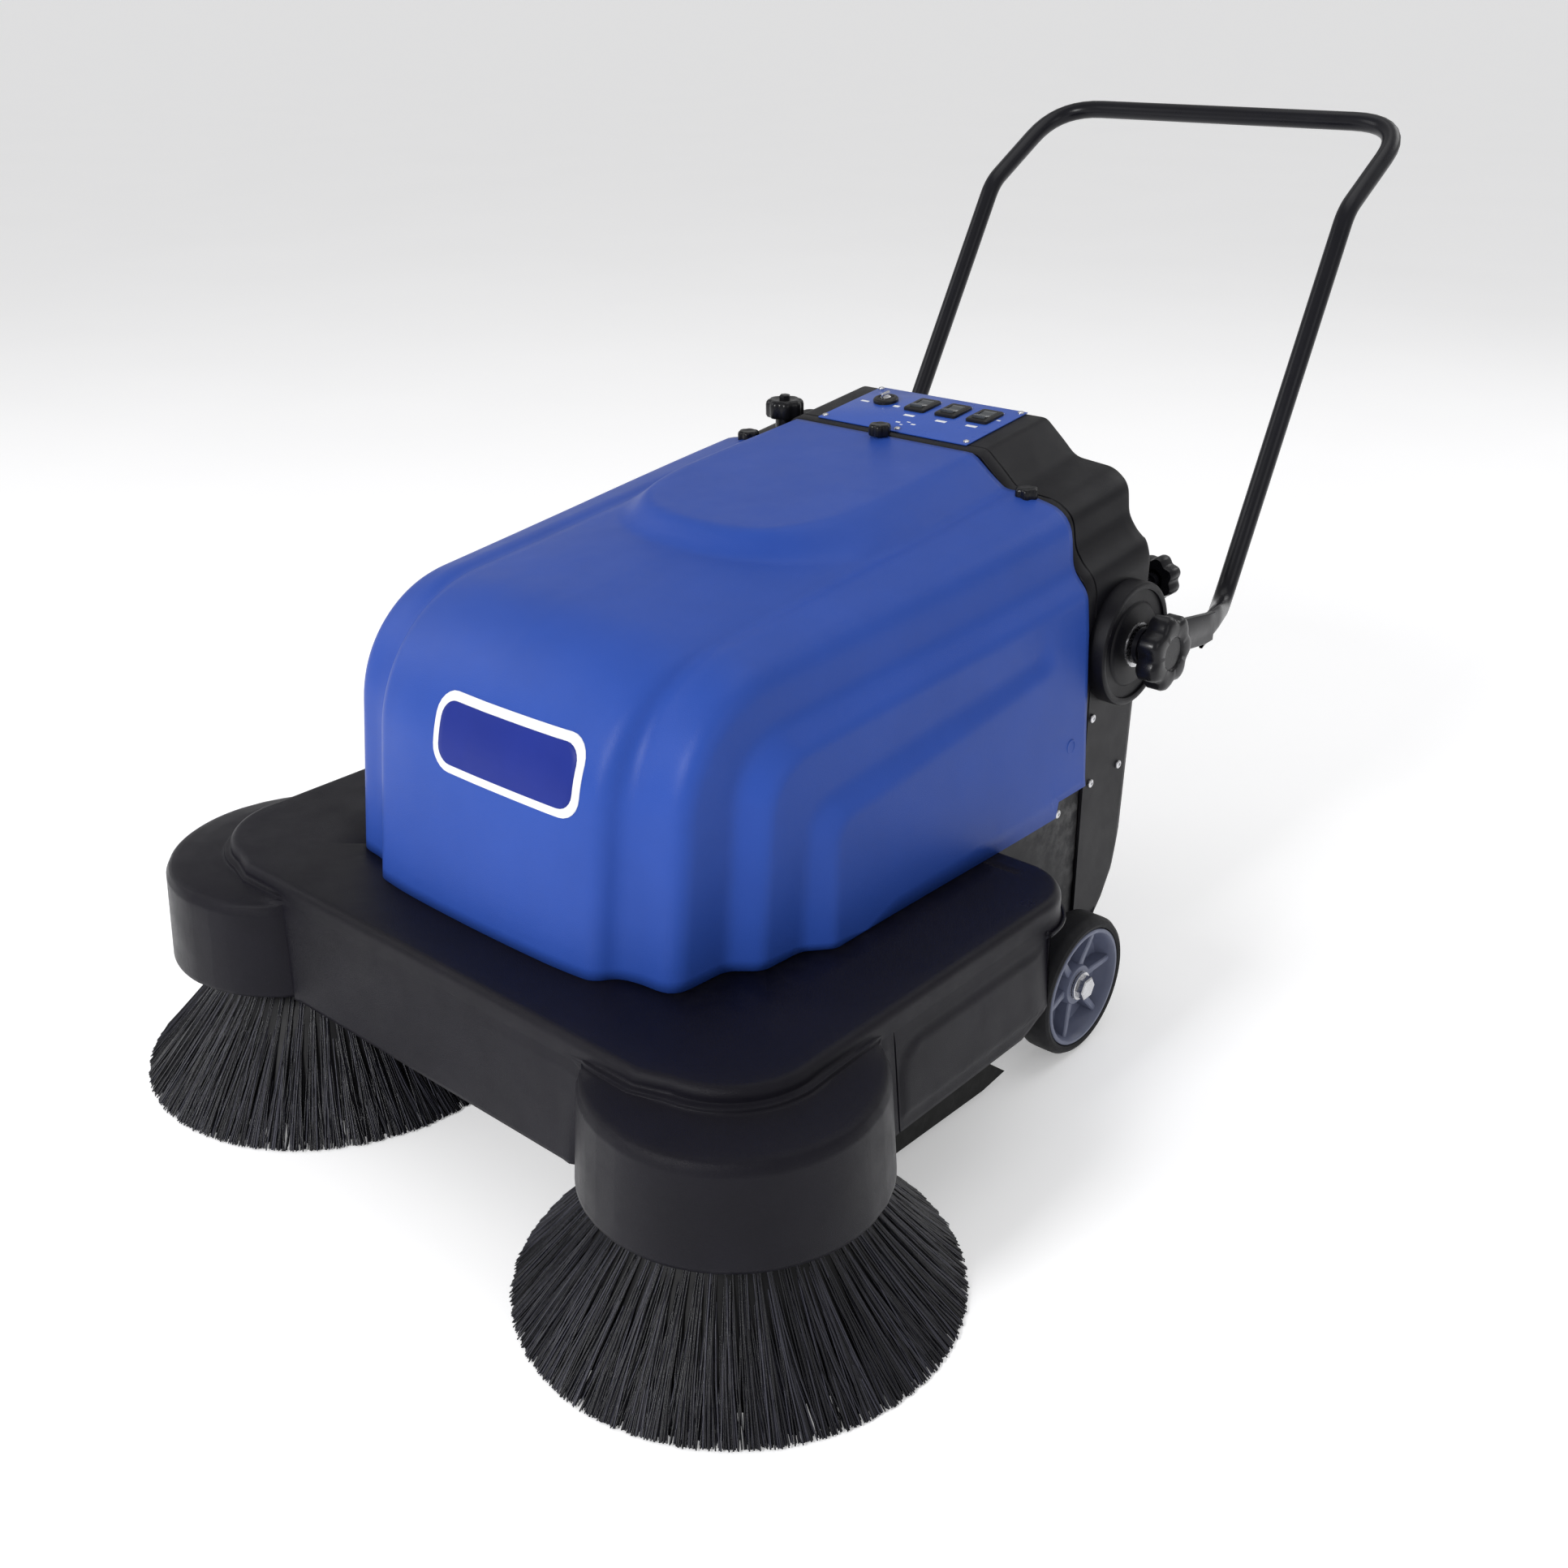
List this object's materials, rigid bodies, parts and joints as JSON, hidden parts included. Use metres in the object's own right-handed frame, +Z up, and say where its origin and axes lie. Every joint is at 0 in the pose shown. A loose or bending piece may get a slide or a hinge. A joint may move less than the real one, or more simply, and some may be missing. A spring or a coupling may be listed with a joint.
{
  "type": "walk-behind sweeper",
  "caption": "Battery walk-behind floor sweeper with side brushes, cross roller, lift-off hood, switch console, dust bin, clamped tilting push handle and rear wheels.",
  "frame": {"origin": "on the floor under the middle of the machine's overall box", "axes": "+Z up; -Y is the front, where the side brushes are, and +Y the rear, where the handle is; +X is to the right as seen from the front, which is the left hand of a person pushing it; left and right in node names are as seen from the front"},
  "size_m": [1.002, 1.484, 0.907],
  "materials": {
    "body_black": "textured moulding",
    "hood_blue": "satin moulding with a fine grain",
    "panel_blue": "satin",
    "frame_paint": "powder coat",
    "tunnel_steel": "galvanised",
    "bright_steel": "zinc plated",
    "knob_black": "satin",
    "handle_black": "gloss powder coat",
    "bristle_black": "stiff nylon filaments",
    "disc_black": "moulded",
    "tyre_black": "moulded tread",
    "hub_grey": "satin",
    "caster_rubber": "moulded",
    "skirt_rubber": "sheet",
    "switch_black": "moulded",
    "rocker_grey": "smoked clear",
    "battery_case": "moulded",
    "cable_red": "insulated cable",
    "controller_case": "satin",
    "motor_grey": "satin",
    "filter_paper": "pleated paper",
    "belt_black": "moulded"
  },
  "bodies": {
    "chassis": {"chassis_frame": "frame_paint", "deck_cover": "body_black", "console_shell": "body_black", "control_panel": "panel_blue", "cover_screws": "bright_steel", "key_switch": "switch_black", "rocker_bezels": "switch_black", "battery": "battery_case", "battery_strap": "bright_steel", "battery_cables": "cable_red", "controller_box": "controller_case", "fan_housing": "motor_grey", "filter_box": "frame_paint", "filter_element": "filter_paper", "roller_tunnel": "tunnel_steel", "roller_bearings": "bright_steel", "roller_motor": "motor_grey", "drive_belt": "belt_black", "side_motor_left": "motor_grey", "side_motor_right": "motor_grey", "side_skirts": "skirt_rubber", "cross_skirts": "skirt_rubber", "axle_bolts": "bright_steel", "pivot_disc_left": "knob_black", "pivot_disc_right": "knob_black", "pivot_bolts": "bright_steel", "caster_plate": "bright_steel"},
    "hood_body": {"hood": "hood_blue"},
    "knob_left": {"hood_knob_left": "knob_black"},
    "knob_centre": {"hood_knob_centre": "knob_black"},
    "knob_right": {"hood_knob_right": "knob_black"},
    "side_brush_left": {"brush_disc_left": "disc_black", "bristles_left": "bristle_black"},
    "side_brush_right": {"brush_disc_right": "disc_black", "bristles_right": "bristle_black"},
    "roller": {"roller_core": "disc_black", "roller_bristles": "bristle_black"},
    "pulley": {"motor_pulley": "bright_steel"},
    "fan": {"fan_impeller": "bright_steel"},
    "shaker": {"shaker_knob": "knob_black"},
    "rear_lock": {"rear_knob": "knob_black"},
    "wheel_left": {"tyre_left": "tyre_black", "wheel_hub_left": "hub_grey", "wheel_bearings_left": "bright_steel"},
    "wheel_right": {"tyre_right": "tyre_black", "wheel_hub_right": "hub_grey", "wheel_bearings_right": "bright_steel"},
    "caster_swivel": {"caster_fork": "bright_steel"},
    "caster_roll": {"caster_wheel": "caster_rubber"},
    "handle": {"handle_tube": "handle_black"},
    "clamp_left": {"clamp_knob_left": "knob_black"},
    "clamp_right": {"clamp_knob_right": "knob_black"},
    "key": {"switch_key": "bright_steel"},
    "switch_1": {"rocker_1": "rocker_grey"},
    "switch_2": {"rocker_2": "rocker_grey"},
    "switch_3": {"rocker_3": "rocker_grey"},
    "bin": {"dust_bin": "body_black", "bin_pull": "knob_black"}
  },
  "joints": [
    {"name": "hood_lift", "type": "slide", "parent": "chassis", "child": "hood_body", "axis": [0, 0, 1], "range_m": [0, 0.25]},
    {"name": "knob_left_turn", "type": "hinge", "parent": "hood_body", "child": "knob_left", "pos_m": [-0.19, 0.026, 0.5765], "axis": [0, 0, 1], "range_deg": [0, 720]},
    {"name": "knob_centre_turn", "type": "hinge", "parent": "hood_body", "child": "knob_centre", "pos_m": [0, 0.026, 0.613], "axis": [0, 0, 1], "range_deg": [0, 720]},
    {"name": "knob_right_turn", "type": "hinge", "parent": "hood_body", "child": "knob_right", "pos_m": [0.19, 0.026, 0.5765], "axis": [0, 0, 1], "range_deg": [0, 720]},
    {"name": "side_brush_left_spin", "type": "hinge", "parent": "chassis", "child": "side_brush_left", "pos_m": [-0.295, -0.536, 0.128], "axis": [0, 0, 1], "continuous": true},
    {"name": "side_brush_right_spin", "type": "hinge", "parent": "chassis", "child": "side_brush_right", "pos_m": [0.295, -0.536, 0.128], "axis": [0, 0, 1], "continuous": true},
    {"name": "roller_spin", "type": "hinge", "parent": "chassis", "child": "roller", "pos_m": [0, -0.206, 0.102], "axis": [1, 0, 0], "continuous": true},
    {"name": "pulley_spin", "type": "hinge", "parent": "chassis", "child": "pulley", "pos_m": [0.236, -0.206, 0.275], "axis": [1, 0, 0], "continuous": true},
    {"name": "fan_spin", "type": "hinge", "parent": "chassis", "child": "fan", "pos_m": [0, -0.036, 0.41], "axis": [0, 0, 1], "continuous": true},
    {"name": "filter_shake", "type": "slide", "parent": "chassis", "child": "shaker", "axis": [0, 0, 1], "range_m": [0, 0.024]},
    {"name": "rear_knob_turn", "type": "hinge", "parent": "chassis", "child": "rear_lock", "pos_m": [0.246, 0.212, 0.458], "axis": [0, 1, 0], "range_deg": [0, 720]},
    {"name": "wheel_left_spin", "type": "hinge", "parent": "chassis", "child": "wheel_left", "pos_m": [-0.314, -0.027, 0.078], "axis": [1, 0, 0], "continuous": true},
    {"name": "wheel_right_spin", "type": "hinge", "parent": "chassis", "child": "wheel_right", "pos_m": [0.314, -0.027, 0.078], "axis": [1, 0, 0], "continuous": true},
    {"name": "caster_turn", "type": "hinge", "parent": "chassis", "child": "caster_swivel", "pos_m": [0, -0.418, 0.131], "axis": [0, 0, 1], "continuous": true},
    {"name": "caster_wheel_spin", "type": "hinge", "parent": "caster_swivel", "child": "caster_roll", "pos_m": [0, -0.392, 0.05], "axis": [1, 0, 0], "continuous": true},
    {"name": "handle_tilt", "type": "hinge", "parent": "chassis", "child": "handle", "pos_m": [0, 0.102, 0.421], "axis": [1, 0, 0], "range_deg": [-20, 60]},
    {"name": "clamp_left_turn", "type": "hinge", "parent": "chassis", "child": "clamp_left", "pos_m": [-0.32, 0.102, 0.421], "axis": [1, 0, 0], "range_deg": [0, 720]},
    {"name": "clamp_right_turn", "type": "hinge", "parent": "chassis", "child": "clamp_right", "pos_m": [0.32, 0.102, 0.421], "axis": [1, 0, 0], "range_deg": [0, 720]},
    {"name": "key_turn", "type": "hinge", "parent": "chassis", "child": "key", "pos_m": [-0.064, 0.11923, 0.62395], "axis": [0, -0.1219, 0.9925], "range_deg": [0, 90]},
    {"name": "switch_1_rock", "type": "hinge", "parent": "chassis", "child": "switch_1", "pos_m": [-0.014, 0.12097, 0.62618], "axis": [-1, 0, 0], "range_deg": [0, 16]},
    {"name": "switch_2_rock", "type": "hinge", "parent": "chassis", "child": "switch_2", "pos_m": [0.028, 0.12097, 0.62618], "axis": [-1, 0, 0], "range_deg": [0, 16]},
    {"name": "switch_3_rock", "type": "hinge", "parent": "chassis", "child": "switch_3", "pos_m": [0.07, 0.12097, 0.62618], "axis": [-1, 0, 0], "range_deg": [0, 16]},
    {"name": "bin_slide", "type": "slide", "parent": "chassis", "child": "bin", "axis": [0, 1, 0], "range_m": [0, 0.28]}
  ],
  "couplings": [
    {"joint": "pulley_spin", "follows": "roller_spin", "ratio": 2}
  ]
}
